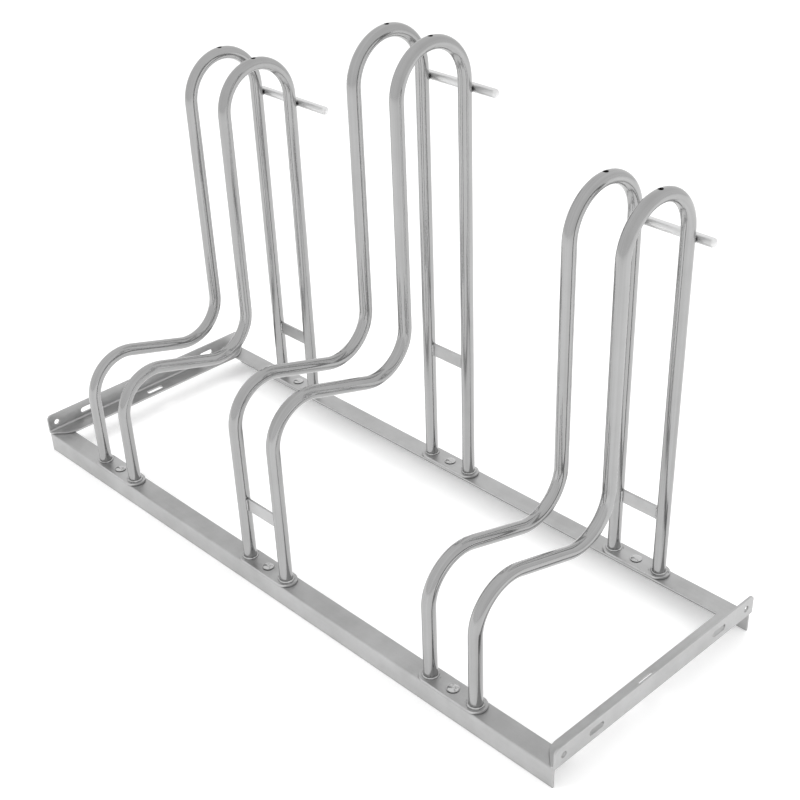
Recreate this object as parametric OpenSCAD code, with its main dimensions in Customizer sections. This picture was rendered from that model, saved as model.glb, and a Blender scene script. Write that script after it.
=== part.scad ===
// Floor bike rack with three wheel holders on a welded frame of steel angle.
// The two outer holders are low and the middle one is high, so handlebars pass each other.
// Origin: middle of the frame, on the floor. +X to the right, +Y to the rear, +Z up.
// The wheel comes in from the front, which is the -Y side.

/* [Frame] */
// Overall width over both side rails
rack_w = 1050; // [880:10:1300]
// Overall depth over both long rails
rack_d = 384; // [300:2:480]
// Leg width of the steel angle
angle_leg = 30; // [25:1:36]
// Wall of the steel angle
angle_t = 3; // [2.5:0.5:4]
// Rounding of the outer corner of the angle
angle_outer_r = 2; // [1:0.5:3]
// Rounding of the inner corner of the angle
angle_root_r = 3; // [2:0.5:4]
// How far a side rail stands out past the ends of the long rails
side_overhang = 3; // [1:0.5:6]

/* [Side rail cuts] */
// Straight part left beside the upright leg where each end is sheared
shear_start = 6.5; // [5:0.5:10]
// Rounding where the sheared end runs into the inner edge
shear_round_r = 30; // [15:1:36]
// Rounding of the top corners of the upright leg
leg_corner_r = 7; // [3:0.5:9]
// Diameter of the round joining holes
joining_hole_d = 9; // [6:0.5:11]
// Distance of a joining hole from the end of the rail
joining_hole_inset = 15; // [10:1:25]
// Width of the slotted holes
slot_w = 9; // [6:0.5:11]
// Length of the slots in the upright leg
wall_slot_l = 26; // [16:1:40]
// Distance of the slots in the upright leg from the middle of the rail
wall_slot_y = 119; // [60:1:130]
// Length of the slot in the flat leg
floor_slot_l = 30; // [16:1:40]
// Distance of the slot in the flat leg from the outer face
floor_slot_inset = 18; // [15:0.5:20]

/* [Holders] */
// Distance between neighbouring holders
place_pitch = 350; // [300:5:380]
// Outer diameter of the holder tube
tube_d = 18; // [15:0.5:21.5]
// Wall of the holder tube
tube_wall = 2; // [1.5:0.5:3]
// Clear gap for the tyre between the two tubes of a holder
tyre_gap = 58; // [45:1:70]
// Distance from the upright to the rear leg, centre to centre
hoop_w = 118; // [90:2:142]
// Centre line radius of the two lower bends
bend_r = 58; // [45:1:66]
// Angle at which the lower run falls to the rear
fall_angle = 16; // [6:0.5:22]
// Height where the front leg of a low holder starts to bend
low_bend_z = 139; // [110:1:165]
// Height of the top of a low holder
low_top_z = 592; // [480:1:720]
// How much higher the middle holder stands
lift = 98; // [60:1:140]
// Diameter of the drain hole at the top of each tube
drain_hole_d = 6; // [4:0.5:8]

/* [Straps and lock bars] */
// Height of the flat straps between the tubes
strap_h = 20; // [14:1:26]
// Thickness of the flat straps
strap_t = 3; // [2:0.5:5]
// Height of the middle of a strap on a low holder
strap_z = 124; // [100:1:150]
// How much higher the rear strap of the middle holder sits
strap_lift = 90; // [60:1:140]
// Diameter of the lock bars
lock_bar_d = 12; // [8:0.5:14]
// Length of the left lock bar
left_lock_bar_l = 147; // [100:1:160]
// Length of the middle lock bar
middle_lock_bar_l = 126; // [100:1:160]
// Length of the right lock bar
right_lock_bar_l = 113; // [100:1:160]
// Distance from the middle of a holder to the short end of its lock bar
lock_bar_start = 46; // [42:1:52]
// How far a lock bar sits below the top of its holder
lock_bar_drop = 82; // [78:1:140]

/* [Feet] */
// Thickness of the foot plates
plate_t = 4; // [3:0.5:6]
// Thread diameter of the carriage bolts
bolt_d = 6; // [5:1:8]
// Diameter of the bolt head
bolt_head_d = 16.5; // [12:0.5:20]
// Height of the bolt head
bolt_head_h = 3.9; // [2.5:0.1:5]
// Side of the square neck under the bolt head
bolt_neck_w = 6.3; // [6:0.1:8.5]
// Width of the nut across its flats
nut_w = 10; // [9:0.5:13]
// Height of the nut
nut_h = 5; // [4:0.5:7]
// Diameter of the washer
washer_d = 12.5; // [11:0.5:16]
// Thickness of the washer
washer_t = 1.6; // [1:0.1:2]

/* [Welds] */
// Leg length of the weld beads
weld_leg = 3; // [2:0.5:3]

/* [Hidden] */
$fn = 48;
half_w = rack_w / 2;
half_d = rack_d / 2;
tube_r = tube_d / 2;
tube_pitch = tyre_gap + tube_d;
foot_y = half_d - angle_leg / 2;
rail_top_z = angle_leg;
side_top_z = rail_top_z + angle_leg;
plate_top_z = rail_top_z + plate_t;
long_rail_l = rack_w - 2 * side_overhang;
hoop_r = hoop_w / 2;
upright_y = foot_y - hoop_w;
run_l = (upright_y + foot_y - 2 * bend_r * (1 + sin(fall_angle))) / cos(fall_angle);
bend_rise = 2 * bend_r * cos(fall_angle) - run_l * sin(fall_angle);
lock_bar_y = foot_y + tube_r + lock_bar_d / 2;
weld_gap = 0.1;
strap_l = tyre_gap - 2 * weld_gap;
shank_hole_d = bolt_d + 0.6;
neck_hole_w = bolt_neck_w + 0.4;
neck_h = plate_t - 0.4;
washer_hole_d = bolt_d + 0.4;
nut_bore_d = bolt_d + 0.1;
washer_top_z = rail_top_z - angle_t;
bolt_tip_z = washer_top_z - washer_t - nut_h - 3;
hole_z = rail_top_z + angle_leg / 2;
shear_end = angle_leg - shear_start;
shear_tangent = shear_round_r * tan(22.5);
lock_bar_z = low_top_z - lock_bar_drop;
lock_bar_edge_r = lock_bar_d / 2 - 1;
bend_thinning = 0.05;
bend_lap = 0.4;
strap_bead_inset = 1;
strap_bead_face = 0.4;
pad_w = 8;
pad_h = 10;
corner_bead_inset = 5;
sides = [-1, 1];
places = [-1, 0, 1];
steel = [0.70, 0.71, 0.72];
tube_steel = [0.76, 0.77, 0.78];
zinc = [0.80, 0.80, 0.78];
bead = [0.58, 0.58, 0.58];

// Height that the holder at place -1, 0 or 1 is raised by
function raised(place) = place == 0 ? lift : 0;

// Height of the middle of a strap: only the rear strap of the middle holder sits higher
function strap_mid_z(place, side) = strap_z + (side > 0 && place == 0 ? strap_lift : 0);

// Square corner minus its rounding, for cutting an outer corner that sits at the origin
module corner_cut(r) {
    difference() {
        translate([-1, -1]) square(r + 1);
        translate([r, r]) circle(r = r);
    }
}

// Cross section of the steel angle, with its outer corner at the origin
module angle_profile() {
    difference() {
        square(angle_leg);
        translate([angle_t, angle_t]) square(angle_leg);
        corner_cut(angle_outer_r);
    }
    translate([angle_t, angle_t]) difference() {
        translate([-1, -1]) square(angle_root_r + 1);
        translate([angle_root_r, angle_root_r]) circle(r = angle_root_r);
    }
}

// Outline with round ends, lying along X, centred
module obround(length, width) {
    square([length - width, width], center = true);
    for (s = sides) translate([s * (length - width) / 2, 0]) circle(r = width / 2);
}

// Rear long rail: flat leg on top pointing inward, upright leg down to the floor
module long_rail() {
    color(steel) difference() {
        translate([-long_rail_l / 2, half_d, rail_top_z]) rotate([90, 0, 90])
            linear_extrude(height = long_rail_l) rotate(180) angle_profile();
        for (place = places)
            translate([place * place_pitch, foot_y, rail_top_z - angle_t - 1])
                cylinder(h = angle_t + 2, r = shank_hole_d / 2);
    }
}

// Plan of the sheared corner, measured inward from the outer face and from the rail's end
module shear_plan() {
    polygon([[shear_start - 1, -1], [angle_leg + 1, -1], [angle_leg + 1, shear_end + 1]]);
    difference() {
        polygon([[angle_leg - shear_tangent / sqrt(2), shear_end - shear_tangent / sqrt(2)],
            [angle_leg + 1, shear_end - shear_tangent / sqrt(2)],
            [angle_leg + 1, shear_end + shear_tangent],
            [angle_leg, shear_end + shear_tangent]]);
        translate([angle_leg - shear_round_r, shear_end + shear_tangent])
            circle(r = shear_round_r);
    }
}

// Right side rail: flat leg lies on the long rails, upright leg stands at the outside
module side_rail() {
    wall_x = half_w - angle_t - 1;
    color(steel) difference() {
        translate([half_w, half_d, rail_top_z]) rotate([90, 0, 0])
            linear_extrude(height = rack_d) mirror([1, 0]) angle_profile();
        for (end = [0, 1]) mirror([0, end, 0]) {
            translate([half_w, half_d, rail_top_z - 1])
                linear_extrude(height = angle_t + 2) rotate(180) shear_plan();
            translate([wall_x, half_d, side_top_z]) rotate([90, 0, 90])
                linear_extrude(height = angle_t + 2) rotate(180) corner_cut(leg_corner_r);
            translate([wall_x, half_d - joining_hole_inset, hole_z]) rotate([0, 90, 0])
                cylinder(h = angle_t + 2, r = joining_hole_d / 2);
            translate([wall_x, wall_slot_y, hole_z]) rotate([90, 0, 90])
                linear_extrude(height = angle_t + 2) obround(wall_slot_l, slot_w);
        }
        translate([half_w - floor_slot_inset, 0, rail_top_z - 1]) rotate(90)
            linear_extrude(height = angle_t + 2) obround(floor_slot_l, slot_w);
    }
}

// Foot plate on the front rail (side -1) or the rear rail (side 1)
module foot_plate(place, side) {
    color(steel) translate([place * place_pitch, side * foot_y, rail_top_z]) difference() {
        linear_extrude(height = plate_t) obround(tube_pitch + angle_leg, angle_leg);
        translate([-neck_hole_w / 2, -neck_hole_w / 2, -1])
            cube([neck_hole_w, neck_hole_w, plate_t + 2]);
    }
}

// Part of a ring in the YZ plane, from angle a0 over the given sweep, its outline turned by turn
module bend(r, centre_r, a0, sweep, turn) {
    rotate([90, 0, 90]) rotate(a0) rotate_extrude(angle = sweep)
        translate([centre_r, 0]) rotate(turn) circle(r = r - bend_thinning);
}

// Straight rod of the given length along Z that laps into the bends at both of its ends
module straight(r, length) {
    translate([0, 0, -bend_lap]) rotate(-90) cylinder(h = length + 2 * bend_lap, r = r);
}

// Straight rod from a foot up to the given height, reaching the given length below the foot
module leg(r, top_z, below, turn) {
    translate([0, 0, plate_top_z - below]) rotate(turn)
        cylinder(h = top_z + bend_lap - plate_top_z + below, r = r);
}

// Solid rod along the path of a holder tube, reaching the given length below its feet
module bent_rod(r, rise, below) {
    bend_1_z = low_bend_z + rise;
    bend_2_z = bend_1_z + bend_rise;
    hoop_z = low_top_z + rise - tube_r - hoop_r;
    run_start = [0, bend_r * (1 + sin(fall_angle)) - foot_y, bend_1_z + bend_r * cos(fall_angle)];
    translate([0, -foot_y, 0]) leg(r, bend_1_z, below, -90);
    translate([0, bend_r - foot_y, bend_1_z]) bend(r, bend_r, 180, -90 - fall_angle, 0);
    translate(run_start) rotate([-90 - fall_angle, 0, 0]) straight(r, run_l);
    translate([0, upright_y - bend_r, bend_2_z]) bend(r, bend_r, 0, -90 - fall_angle, 180);
    translate([0, upright_y, bend_2_z]) straight(r, hoop_z - bend_2_z);
    translate([0, upright_y + hoop_r, hoop_z]) bend(r, hoop_r, 0, 180, 0);
    translate([0, foot_y, 0]) leg(r, hoop_z, below, 90);
}

// One bent tube of the holder at the given place, left (side -1) or right (side 1)
module holder_tube(place, side) {
    rise = raised(place);
    color(tube_steel) translate([place * place_pitch + side * tube_pitch / 2, 0, 0]) difference() {
        bent_rod(tube_r, rise, 0);
        bent_rod(tube_r - tube_wall, rise, 1);
        translate([0, upright_y + hoop_r, low_top_z + rise - tube_r])
            cylinder(h = tube_r + 1, r = drain_hole_d / 2);
    }
}

// Flat strap between the front legs (side -1) or the rear legs (side 1) of a holder
module strap(place, side) {
    color(steel) translate([place * place_pitch, side * foot_y, strap_mid_z(place, side)])
        cube([strap_l, strap_t, strap_h], center = true);
}

// Round bar of the given length across the back of a holder, for a padlock or cable
module lock_bar(place, length) {
    color(steel)
        translate([place * place_pitch - lock_bar_start, lock_bar_y, lock_bar_z + raised(place)])
        rotate([0, 90, 0]) rotate_extrude() difference() {
            square([lock_bar_d / 2, length]);
            translate([lock_bar_d / 2, 0]) mirror([1, 0]) corner_cut(lock_bar_edge_r);
            translate([lock_bar_d / 2, length]) rotate(180) corner_cut(lock_bar_edge_r);
        }
}

// Places its children at the middle of each foot plate, on its top
module at_feet() {
    for (place = places) for (side = sides)
        translate([place * place_pitch, side * foot_y, plate_top_z]) children();
}

// Bolt with a low round head and a square neck, underside of the head at the origin
module carriage_bolt() {
    cap_r = (pow(bolt_head_h, 2) + pow(bolt_head_d / 2, 2)) / (2 * bolt_head_h);
    color(zinc) {
        intersection() {
            translate([0, 0, bolt_head_h - cap_r]) sphere(r = cap_r);
            cylinder(h = bolt_head_h + 1, r = bolt_head_d / 2 + 1);
        }
        translate([-bolt_neck_w / 2, -bolt_neck_w / 2, -neck_h])
            cube([bolt_neck_w, bolt_neck_w, neck_h]);
        translate([0, 0, bolt_tip_z - plate_top_z])
            cylinder(h = plate_top_z - bolt_tip_z, r = bolt_d / 2);
    }
}

// Ring of the given bore and outline, with its top at height z
module ring_below(z, height, bore_d) {
    color(zinc) translate([0, 0, z - plate_top_z - height]) difference() {
        linear_extrude(height = height) children();
        translate([0, 0, -1]) cylinder(h = height + 2, r = bore_d / 2);
    }
}

// Plain washer under the flat leg of a long rail
module washer() {
    ring_below(washer_top_z, washer_t, washer_hole_d) circle(r = washer_d / 2);
}

// Hexagonal nut under the washer
module nut() {
    ring_below(washer_top_z - washer_t, nut_h, nut_bore_d) circle(r = nut_w / sqrt(3), $fn = 6);
}

// Fillet bead around the foot of a tube
module foot_weld() {
    color(bead) rotate_extrude()
        translate([tube_r + weld_gap, 0])
        polygon([[0, 0], [weld_leg, 0], [weld_leg * 0.6, weld_leg * 0.6], [0, weld_leg]]);
}

// Upright bead in the corner between the face of a strap and the inner side of a tube
module strap_bead() {
    difference() {
        translate([tyre_gap / 2 - weld_leg, strap_t / 2, strap_bead_inset - strap_h / 2])
            cube([2 * weld_leg, weld_leg, strap_h - 2 * strap_bead_inset]);
        translate([tube_pitch / 2, 0, -strap_h]) cylinder(h = 2 * strap_h, r = tube_r + weld_gap);
        translate([tyre_gap / 2 - weld_leg, strap_t / 2, -strap_h])
            rotate(45) translate([0, strap_bead_face, 0]) cube([2 * weld_leg, 2 * weld_leg, 2 * strap_h]);
    }
}

// All four beads of one strap
module strap_bead_set(place, side) {
    color(bead) translate([place * place_pitch, side * foot_y, strap_mid_z(place, side)])
        for (mx = [0, 1]) for (my = [0, 1]) mirror([mx, 0, 0]) mirror([0, my, 0]) strap_bead();
}

// Weld pad between a lock bar and the back of a leg, above and below their contact
module lock_bar_pad(place, side) {
    $fn = 180;
    x = place * place_pitch + side * tube_pitch / 2;
    z = lock_bar_z + raised(place);
    color(bead) difference() {
        translate([x - pad_w / 2, foot_y + pad_w / 2, z - pad_h / 2])
            cube([pad_w, tube_r + lock_bar_d / 2 - pad_w / 2 - 1, pad_h]);
        translate([x, foot_y, z - pad_h]) cylinder(h = 2 * pad_h, r = tube_r + weld_gap);
        translate([x - pad_w, lock_bar_y, z]) rotate([0, 90, 0])
            cylinder(h = 2 * pad_w, r = lock_bar_d / 2 + weld_gap);
    }
}

// Bead under a side rail along the inner edge of the rear rail, right end
module corner_bead() {
    color(bead)
        translate([half_w - angle_leg + corner_bead_inset, half_d - angle_leg, rail_top_z])
        rotate([90, 0, 90])
        linear_extrude(height = angle_leg - 2 * corner_bead_inset)
        polygon([[0, 0], [-weld_leg, 0], [0, -weld_leg]]);
}

// The foot beads of all twelve tube feet
module foot_weld_pairs() {
    at_feet() for (side = sides) translate([side * tube_pitch / 2, 0, 0]) foot_weld();
}

// The beads of all four straps
module strap_beads() {
    for (place = places) strap_bead_set(place, 1);
    strap_bead_set(0, -1);
}

// The pads of all three lock bars
module lock_bar_pads() {
    for (place = places) for (side = sides) lock_bar_pad(place, side);
}

// The beads at all four corners of the frame
module corner_beads() {
    for (mx = [0, 1]) for (my = [0, 1]) mirror([mx, 0, 0]) mirror([0, my, 0]) corner_bead();
}

mirror([0, 1, 0]) long_rail();  // front_rail
long_rail();  // rear_rail
mirror([1, 0, 0]) side_rail();  // left_side_rail
side_rail();  // right_side_rail
foot_plate(-1, -1);  // left_front_foot_plate
foot_plate(-1, 1);  // left_rear_foot_plate
foot_plate(0, -1);  // middle_front_foot_plate
foot_plate(0, 1);  // middle_rear_foot_plate
foot_plate(1, -1);  // right_front_foot_plate
foot_plate(1, 1);  // right_rear_foot_plate
holder_tube(-1, -1);  // left_holder_left_tube
holder_tube(-1, 1);  // left_holder_right_tube
holder_tube(0, -1);  // middle_holder_left_tube
holder_tube(0, 1);  // middle_holder_right_tube
holder_tube(1, -1);  // right_holder_left_tube
holder_tube(1, 1);  // right_holder_right_tube
strap(-1, 1);  // left_rear_strap
strap(0, 1);  // middle_rear_strap
strap(1, 1);  // right_rear_strap
strap(0, -1);  // middle_front_strap
lock_bar(-1, left_lock_bar_l);  // left_lock_bar
lock_bar(0, middle_lock_bar_l);  // middle_lock_bar
lock_bar(1, right_lock_bar_l);  // right_lock_bar
at_feet() carriage_bolt();  // carriage_bolts
at_feet() washer();  // washers
at_feet() nut();  // nuts
foot_weld_pairs();  // foot_welds
strap_beads();  // strap_welds
lock_bar_pads();  // lock_bar_welds
corner_beads();  // corner_welds
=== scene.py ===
"""Looks of the floor bike rack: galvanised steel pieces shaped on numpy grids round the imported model."""
import math

import bmesh
import bpy
import numpy as np
from mathutils import Matrix, Vector


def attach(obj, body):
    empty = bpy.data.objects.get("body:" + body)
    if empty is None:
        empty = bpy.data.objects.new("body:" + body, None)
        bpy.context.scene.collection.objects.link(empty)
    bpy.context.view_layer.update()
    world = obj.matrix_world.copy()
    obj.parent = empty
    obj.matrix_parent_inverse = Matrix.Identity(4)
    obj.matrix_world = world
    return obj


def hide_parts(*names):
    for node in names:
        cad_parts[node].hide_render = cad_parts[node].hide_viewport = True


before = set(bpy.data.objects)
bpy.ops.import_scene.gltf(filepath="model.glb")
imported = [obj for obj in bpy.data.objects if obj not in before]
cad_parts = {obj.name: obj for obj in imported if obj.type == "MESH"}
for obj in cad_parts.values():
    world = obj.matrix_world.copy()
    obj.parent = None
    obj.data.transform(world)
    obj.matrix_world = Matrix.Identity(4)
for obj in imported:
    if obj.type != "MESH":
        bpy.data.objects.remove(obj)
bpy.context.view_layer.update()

# Sizes in metres, the same as the construction's
MM = 0.001
RACK_W = 1050 * MM
RACK_D = 384 * MM
LEG = 30 * MM
WALL = 3 * MM
SIDE_OVERHANG = 3 * MM
PITCH = 350 * MM
TUBE_R = 9 * MM
TUBE_WALL = 2 * MM
TYRE_GAP = 58 * MM
TUBE_PITCH = TYRE_GAP + 2 * TUBE_R
FOOT_Y = RACK_D / 2 - LEG / 2
HOOP_R = 59 * MM
UPRIGHT_Y = FOOT_Y - 2 * HOOP_R
BEND_R = 58 * MM
FALL = math.radians(16)
LOW_BEND_Z = 139 * MM
LOW_TOP_Z = 592 * MM
LIFT = 98 * MM
DRAIN_R = 3 * MM
PLATE_T = 4 * MM
PLATE_TOP = LEG + PLATE_T
STRAP_H = 20 * MM
STRAP_T = 3 * MM
STRAP_Z = 124 * MM
STRAP_LIFT = 90 * MM
BAR_R = 6 * MM
BAR_L = {"left": 147 * MM, "middle": 126 * MM, "right": 113 * MM}
BAR_START = 46 * MM
BAR_DROP = 82 * MM
BAR_Y = FOOT_Y + TUBE_R + BAR_R
HOLDERS = {"left": -1, "middle": 0, "right": 1}
SIDES = {"left": -1, "right": 1}
ENDS = {"front": -1, "rear": 1}


def raised(place):
    """Height by which the holder at a place stands above the low ones."""
    return LIFT if place == 0 else 0.0


def strap_height(place, end):
    """Height of the middle of a strap: only the rear strap of the middle holder sits higher."""
    return STRAP_Z + (STRAP_LIFT if place == 0 and end > 0 else 0.0)


def steps(*stops):
    """Numbers from stop to stop, with the given count of intervals between each two: (a, n, b, m, c ...)."""
    firsts = range(0, len(stops) - 2, 2)
    parts = [np.linspace(stops[i], stops[i + 2], stops[i + 1], endpoint=False) for i in firsts]
    return np.concatenate(parts + [[stops[-1]]])


# Mesh building

class Shell:
    """Vertices, their grain coordinates and faces, gathered as arrays and made one mesh at the end."""

    def __init__(self):
        self.points = []
        self.grain = []
        self.quads = []
        self.polygons = []
        self.count = 0

    def add(self, points, grain):
        """Adds vertices of any grid shape and returns their numbers in that same shape."""
        shape = points.shape[:-1]
        n = int(np.prod(shape))
        self.points.append(points.reshape(n, 3))
        self.grain.append(np.broadcast_to(grain, points.shape).reshape(n, 3))
        first = self.count
        self.count += n
        return np.arange(first, first + n).reshape(shape)

    def bridge(self, a, b, closed=False):
        """Quads between two equally long rows of vertices, from a to b."""
        a2, b2 = (np.roll(a, -1), np.roll(b, -1)) if closed else (a[1:], b[1:])
        n = len(a2)
        self.quads.append(np.stack([a[:n], a2, b2, b[:n]], 1))

    def sheet(self, ids, keep=None):
        """Quads over a grid of vertex numbers, without the cells where keep is false."""
        q = np.stack([ids[:-1, :-1], ids[1:, :-1], ids[1:, 1:], ids[:-1, 1:]], -1)
        self.quads.append(q.reshape(-1, 4) if keep is None else q[keep])

    def wrap(self, ids):
        """Quads over a grid whose second direction closes on itself."""
        self.sheet(np.concatenate([ids, ids[:, :1]], 1))

    def cap(self, ring):
        """One polygon over a ring of vertices."""
        self.polygons.append(list(map(int, ring)))

    def build(self, name, nodes, material, smooth_angle=50):
        """Makes the mesh, turns its faces outwards, and stands it in for the CAD nodes."""
        quads = np.concatenate(self.quads)
        faces = quads.tolist() + self.polygons
        mesh = bpy.data.meshes.new(name)
        mesh.from_pydata(np.concatenate(self.points).tolist(), [], faces)
        attribute = mesh.attributes.new("grain", "FLOAT_VECTOR", "POINT")
        attribute.data.foreach_set("vector", np.concatenate(self.grain).astype(np.float32).ravel())
        mesh.polygons.foreach_set("use_smooth", np.ones(len(mesh.polygons), bool))
        piece = bpy.data.objects.new(name, mesh)
        bpy.context.collection.objects.link(piece)
        tidy_mesh(mesh)
        mesh.set_sharp_from_angle(angle=math.radians(smooth_angle))
        mesh.materials.append(material)
        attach(piece, "root")
        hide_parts(*nodes)
        return piece


def tidy_mesh(mesh):
    """Merges doubles, drops faces without area and turns all faces outwards."""
    bm = bmesh.new()
    bm.from_mesh(mesh)
    bmesh.ops.remove_doubles(bm, verts=bm.verts, dist=2e-6)
    bmesh.ops.dissolve_degenerate(bm, edges=bm.edges, dist=1e-7)
    bmesh.ops.recalc_face_normals(bm, faces=bm.faces)
    bm.to_mesh(mesh)
    bm.free()


def stack(*parts):
    """Points from their separate x, y and z arrays, spread to one shape."""
    return np.stack(np.broadcast_arrays(*parts), -1).astype(float)


def ripple(along, seed, waves):
    """Sum of sines with seeded phases: waves is a list of (wavelength, height)."""
    rng = np.random.default_rng(seed)
    total = np.zeros_like(along, dtype=float)
    for length, height in waves:
        total = total + height * np.sin(2 * np.pi * (along / length + rng.random()))
    return total


# Holder tubes

def tube_path(rise):
    """Centre line of a holder tube in the YZ plane: arrays of y, z, tangent angle, length and bend share.

    Straight legs and run, joined by arcs: up, over and down to the rear, up again, then half a turn down.
    """
    rows = []

    def line(y0, z0, y1, z1, n):
        t = np.linspace(0, 1, n, endpoint=False)
        heading = math.atan2(z1 - z0, y1 - y0)
        rows.append(np.stack([y0 + t * (y1 - y0), z0 + t * (z1 - z0), np.full(n, heading),
                              np.zeros(n)], 1))

    def arc(cy, cz, r, a0, a1, n, turn):
        a = np.linspace(a0, a1, n, endpoint=False)
        rows.append(np.stack([cy + r * np.cos(a), cz + r * np.sin(a),
                              a + turn * np.pi / 2, np.full(n, -turn)], 1))

    b1 = LOW_BEND_Z + rise
    start_y = BEND_R * (1 + math.sin(FALL)) - FOOT_Y
    start_z = b1 + BEND_R * math.cos(FALL)
    run = (UPRIGHT_Y + FOOT_Y - 2 * BEND_R * (1 + math.sin(FALL))) / math.cos(FALL)
    end_y, end_z = start_y + run * math.cos(FALL), start_z - run * math.sin(FALL)
    b2 = end_z + BEND_R * math.cos(FALL)
    hoop_z = LOW_TOP_Z + rise - TUBE_R - HOOP_R
    line(-FOOT_Y, PLATE_TOP, -FOOT_Y, b1, 22)
    arc(BEND_R - FOOT_Y, b1, BEND_R, np.pi, np.pi / 2 - FALL, 42, -1)
    line(start_y, start_z, end_y, end_z, 12)
    arc(UPRIGHT_Y - BEND_R, b2, BEND_R, -FALL - np.pi / 2, 0, 42, 1)
    line(UPRIGHT_Y, b2, UPRIGHT_Y, hoop_z, 34)
    arc(UPRIGHT_Y + HOOP_R, hoop_z, HOOP_R, np.pi, np.pi / 2 + HOLE_SPAN, 28, -1)
    arc(UPRIGHT_Y + HOOP_R, hoop_z, HOOP_R, np.pi / 2 + HOLE_SPAN, np.pi / 2 - HOLE_SPAN, 2 * HOLE_CELLS, -1)
    arc(UPRIGHT_Y + HOOP_R, hoop_z, HOOP_R, np.pi / 2 - HOLE_SPAN, 0, 28, -1)
    line(FOOT_Y, hoop_z, FOOT_Y, PLATE_TOP, 56)
    rows.append(np.array([[FOOT_Y, PLATE_TOP, -np.pi / 2, 0]]))
    y, z, angle, bent = np.concatenate(rows).T
    along = np.concatenate([[0], np.cumsum(np.hypot(np.diff(y), np.diff(z)))])
    top = 22 + 42 + 12 + 42 + 34 + 28 + HOLE_CELLS
    return y, z, angle, along, bent, top


HOLE_CELLS = 4
# Scale on the grain coordinates of the drain hole's rim and lip. It brings them inside the tube finish's dark
# radius, so the rim is painted near black as painted shade of the hole.
DRAIN_RIM_SHADE = 0.86
HOLE_SPAN = 5.4 * MM / HOOP_R
AROUND = 56
FLATTEN = 0.02


def settle(values, width=3):
    """Running mean, so that a stepped array changes over a few entries."""
    kernel = np.ones(width) / width
    return np.convolve(np.pad(values, width // 2, mode="edge"), kernel, mode="valid")


def tube_wall(shell, x, rise, radius, seed, outward):
    """A wall of the bent tube: point = centre + radius (cos t X + sin t N), N the path's outer normal.

    In the bends the section is a little flatter across the bend, and small waves run along the length.
    """
    y, z, angle, along, bent, top = tube_path(rise)
    t = np.arange(AROUND) * 2 * np.pi / AROUND
    flat = settle(np.abs(bent)) * FLATTEN
    wave = ripple(along, seed, [(0.19, 0.05 * MM), (0.083, 0.03 * MM)])
    calm = 1 - np.exp(-((along - along[top]) / 0.02) ** 2)
    grow = (radius + wave * calm)[:, None]
    side = grow * (1 + 0.3 * flat[:, None]) * np.cos(t)
    out = grow * (1 - flat[:, None]) * np.sin(t)
    ny, nz = -np.sin(angle)[:, None], np.cos(angle)[:, None]
    points = stack(x + side, y[:, None] + out * ny, z[:, None] + out * nz)
    grain = stack(side, out, along[:, None] + seed * 0.37)
    ids = shell.add(points, grain)
    keep = np.ones((len(y) - 1, AROUND), bool)
    q = AROUND // 4
    keep[top - HOLE_CELLS:top + HOLE_CELLS, q - HOLE_CELLS:q + HOLE_CELLS] = False
    closed = np.concatenate([ids, ids[:, :1]], 1)
    shell.sheet(closed, keep)
    lo_i, hi_i, lo_j, hi_j = top - HOLE_CELLS, top + HOLE_CELLS, q - HOLE_CELLS, q + HOLE_CELLS
    loop = np.array([(lo_i, j) for j in range(lo_j, hi_j)] + [(i, hi_j) for i in range(lo_i, hi_i)]
                    + [(hi_i, j) for j in range(hi_j, lo_j, -1)] + [(i, lo_j) for i in range(hi_i, lo_i, -1)])
    edge = ids[loop[:, 0], loop[:, 1]]
    corner = points[loop[:, 0], loop[:, 1]]
    dx, dy = corner[:, 0] - x, corner[:, 1] - y[top]
    bearing = np.arctan2(dy, dx)
    rings = [edge]
    hoop_z = z[top] - HOOP_R
    for share in (0.4, 0.75, 1.0):
        rim = DRAIN_R + (0.25 * MM if outward else 0.1 * MM)
        hx = dx + (rim * np.cos(bearing) - dx) * share
        hy = dy + (rim * np.sin(bearing) - dy) * share
        spots, inner = drain_points(x, y[top], hoop_z, hx, hy, radius, along[top] + seed * 0.37)
        rings.append(shell.add(spots, inner * (DRAIN_RIM_SHADE if share == 1.0 else 1.0)))
    for a, b in zip(rings, rings[1:]):
        shell.bridge(a, b, closed=True)
    return ids, rings[-1], bearing, (x, y[top], hoop_z)


def drain_points(x, y, hoop_z, hx, hy, radius, along, sink=0.0):
    """Points of the hoop's top above the spots (hx, hy): z = sqrt((R + k sqrt(r2 - x2))2 - y2)."""
    rise = (1 - FLATTEN) * radius * np.sqrt(1 - (hx / (radius * (1 + 0.3 * FLATTEN))) ** 2)
    z = np.sqrt((HOOP_R + rise) ** 2 - hy ** 2)
    return stack(x + hx, y + hy, hoop_z + z - sink), stack(hx, rise, along + hy)


def holder_tube(holder, side, seed):
    """A bent tube with outer and inner wall, a drain hole at its top, and rims at both feet."""
    place = HOLDERS[holder]
    x = place * PITCH + SIDES[side] * TUBE_PITCH / 2
    rise = raised(place)
    shell = Shell()
    outer, hole_out, bearing, origin = tube_wall(shell, x, rise, TUBE_R, seed, True)
    inner, hole_in, _, _ = tube_wall(shell, x, rise, TUBE_R - TUBE_WALL, seed, False)
    for end in (0, -1):
        shell.bridge(outer[end], inner[end], closed=True)
    hx, hy = DRAIN_R * np.cos(bearing), DRAIN_R * np.sin(bearing)
    spots, inner_grain = drain_points(*origin, hx, hy, TUBE_R, 0.0, 0.3 * MM)
    lip = shell.add(spots, inner_grain * DRAIN_RIM_SHADE)
    shell.bridge(hole_out, lip, closed=True)
    shell.bridge(lip, hole_in, closed=True)
    name = f"{holder}_holder_{side}_tube"
    return shell.build(name + "_bent", [name], FINISH["tube"])


# Sheets with rounded rims and holes: angles, plates and straps

RIM = 0.45 * MM
INSET = 0.85 * MM


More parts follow.
